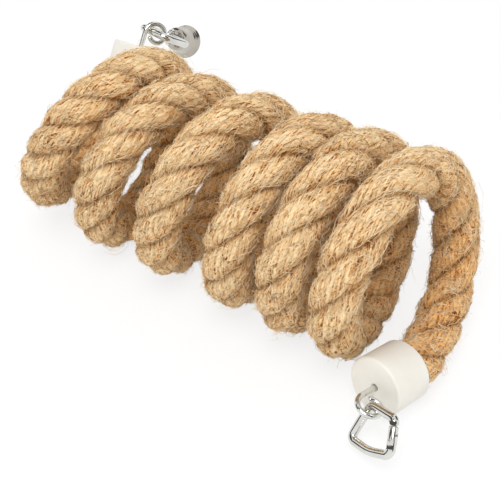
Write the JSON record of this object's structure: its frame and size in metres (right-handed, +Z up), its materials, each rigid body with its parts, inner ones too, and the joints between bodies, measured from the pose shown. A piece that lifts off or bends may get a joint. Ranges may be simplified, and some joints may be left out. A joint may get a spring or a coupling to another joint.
{
  "type": "spiral rope perch",
  "caption": "Spiral rope perch for a cage bird: thick jute rope wound on a spring wire, with moulded end caps, wire eyes, snap links and a small bell.",
  "frame": {"origin": "middle of the part's box, on the floor that the spiral lies on", "axes": "+X along the spiral from its far end to its near end, +Y to its back, +Z up"},
  "size_m": [0.2156, 0.1606, 0.0943],
  "materials": {
    "jute": "rough laid jute with loose fibres",
    "spring_steel": "drawn wire",
    "cap_plastic": "smooth cream moulding",
    "chrome_wire": "polished plating",
    "bell_metal": "polished silver plating"
  },
  "bodies": {
    "coil": {"rope": "jute", "core_wire": "spring_steel", "near_cap": "cap_plastic", "near_eye": "chrome_wire"},
    "near_link_body": {"near_link": "chrome_wire", "near_gate_pin": "chrome_wire"},
    "near_gate_body": {"near_gate": "chrome_wire"},
    "far_end": {"far_cap": "cap_plastic", "far_eye": "chrome_wire"},
    "far_link_body": {"far_link": "chrome_wire", "far_gate_pin": "chrome_wire"},
    "far_gate_body": {"far_gate": "chrome_wire"},
    "bell_body": {"bell": "bell_metal", "bell_loop": "chrome_wire"},
    "clapper": {"clapper_wire": "chrome_wire", "clapper_ball": "bell_metal"}
  },
  "joints": [
    {"name": "spiral_stretch", "type": "slide", "parent": "coil", "child": "far_end", "axis": [-1, 0, 0], "range_m": [0, 0.2], "stiffness_N_per_m": 40, "deforming": ["rope", "core_wire"]},
    {"name": "near_link_swing", "type": "hinge", "parent": "coil", "child": "near_link_body", "pos_m": [0.09308, -0.0672, 0.01525], "axis": [0.7165, 0.6548, -0.2407], "range_deg": [-30, 40]},
    {"name": "near_gate_open", "type": "hinge", "parent": "near_link_body", "child": "near_gate_body", "pos_m": [0.10502, -0.07481, 0.01689], "axis": [-0.4863, -0.6328, 0.6026], "range_deg": [0, 38], "stiffness_Nm_per_rad": 0.005, "springref_deg": -17.19},
    {"name": "far_link_swing", "type": "hinge", "parent": "far_end", "child": "far_link_body", "pos_m": [-0.08708, 0.04819, 0.06388], "axis": [0.1051, -0.5487, -0.8294], "range_deg": [0, 90]},
    {"name": "far_gate_open", "type": "hinge", "parent": "far_link_body", "child": "far_gate_body", "pos_m": [-0.10069, 0.05206, 0.06218], "axis": [0.0677, 0.5905, 0.8042], "range_deg": [0, 38], "stiffness_Nm_per_rad": 0.005, "springref_deg": -17.19},
    {"name": "bell_swing", "type": "hinge", "parent": "far_link_body", "child": "bell_body", "pos_m": [-0.09195, 0.05816, 0.05696], "axis": [-0.9876, -0.075, 0.1382], "range_deg": [-45, 75]},
    {"name": "clapper_swing", "type": "hinge", "parent": "bell_body", "child": "clapper", "pos_m": [-0.09379, 0.06835, 0.04936], "axis": [-0.0652, -0.6045, -0.7939], "range_deg": [-25, 25]}
  ]
}
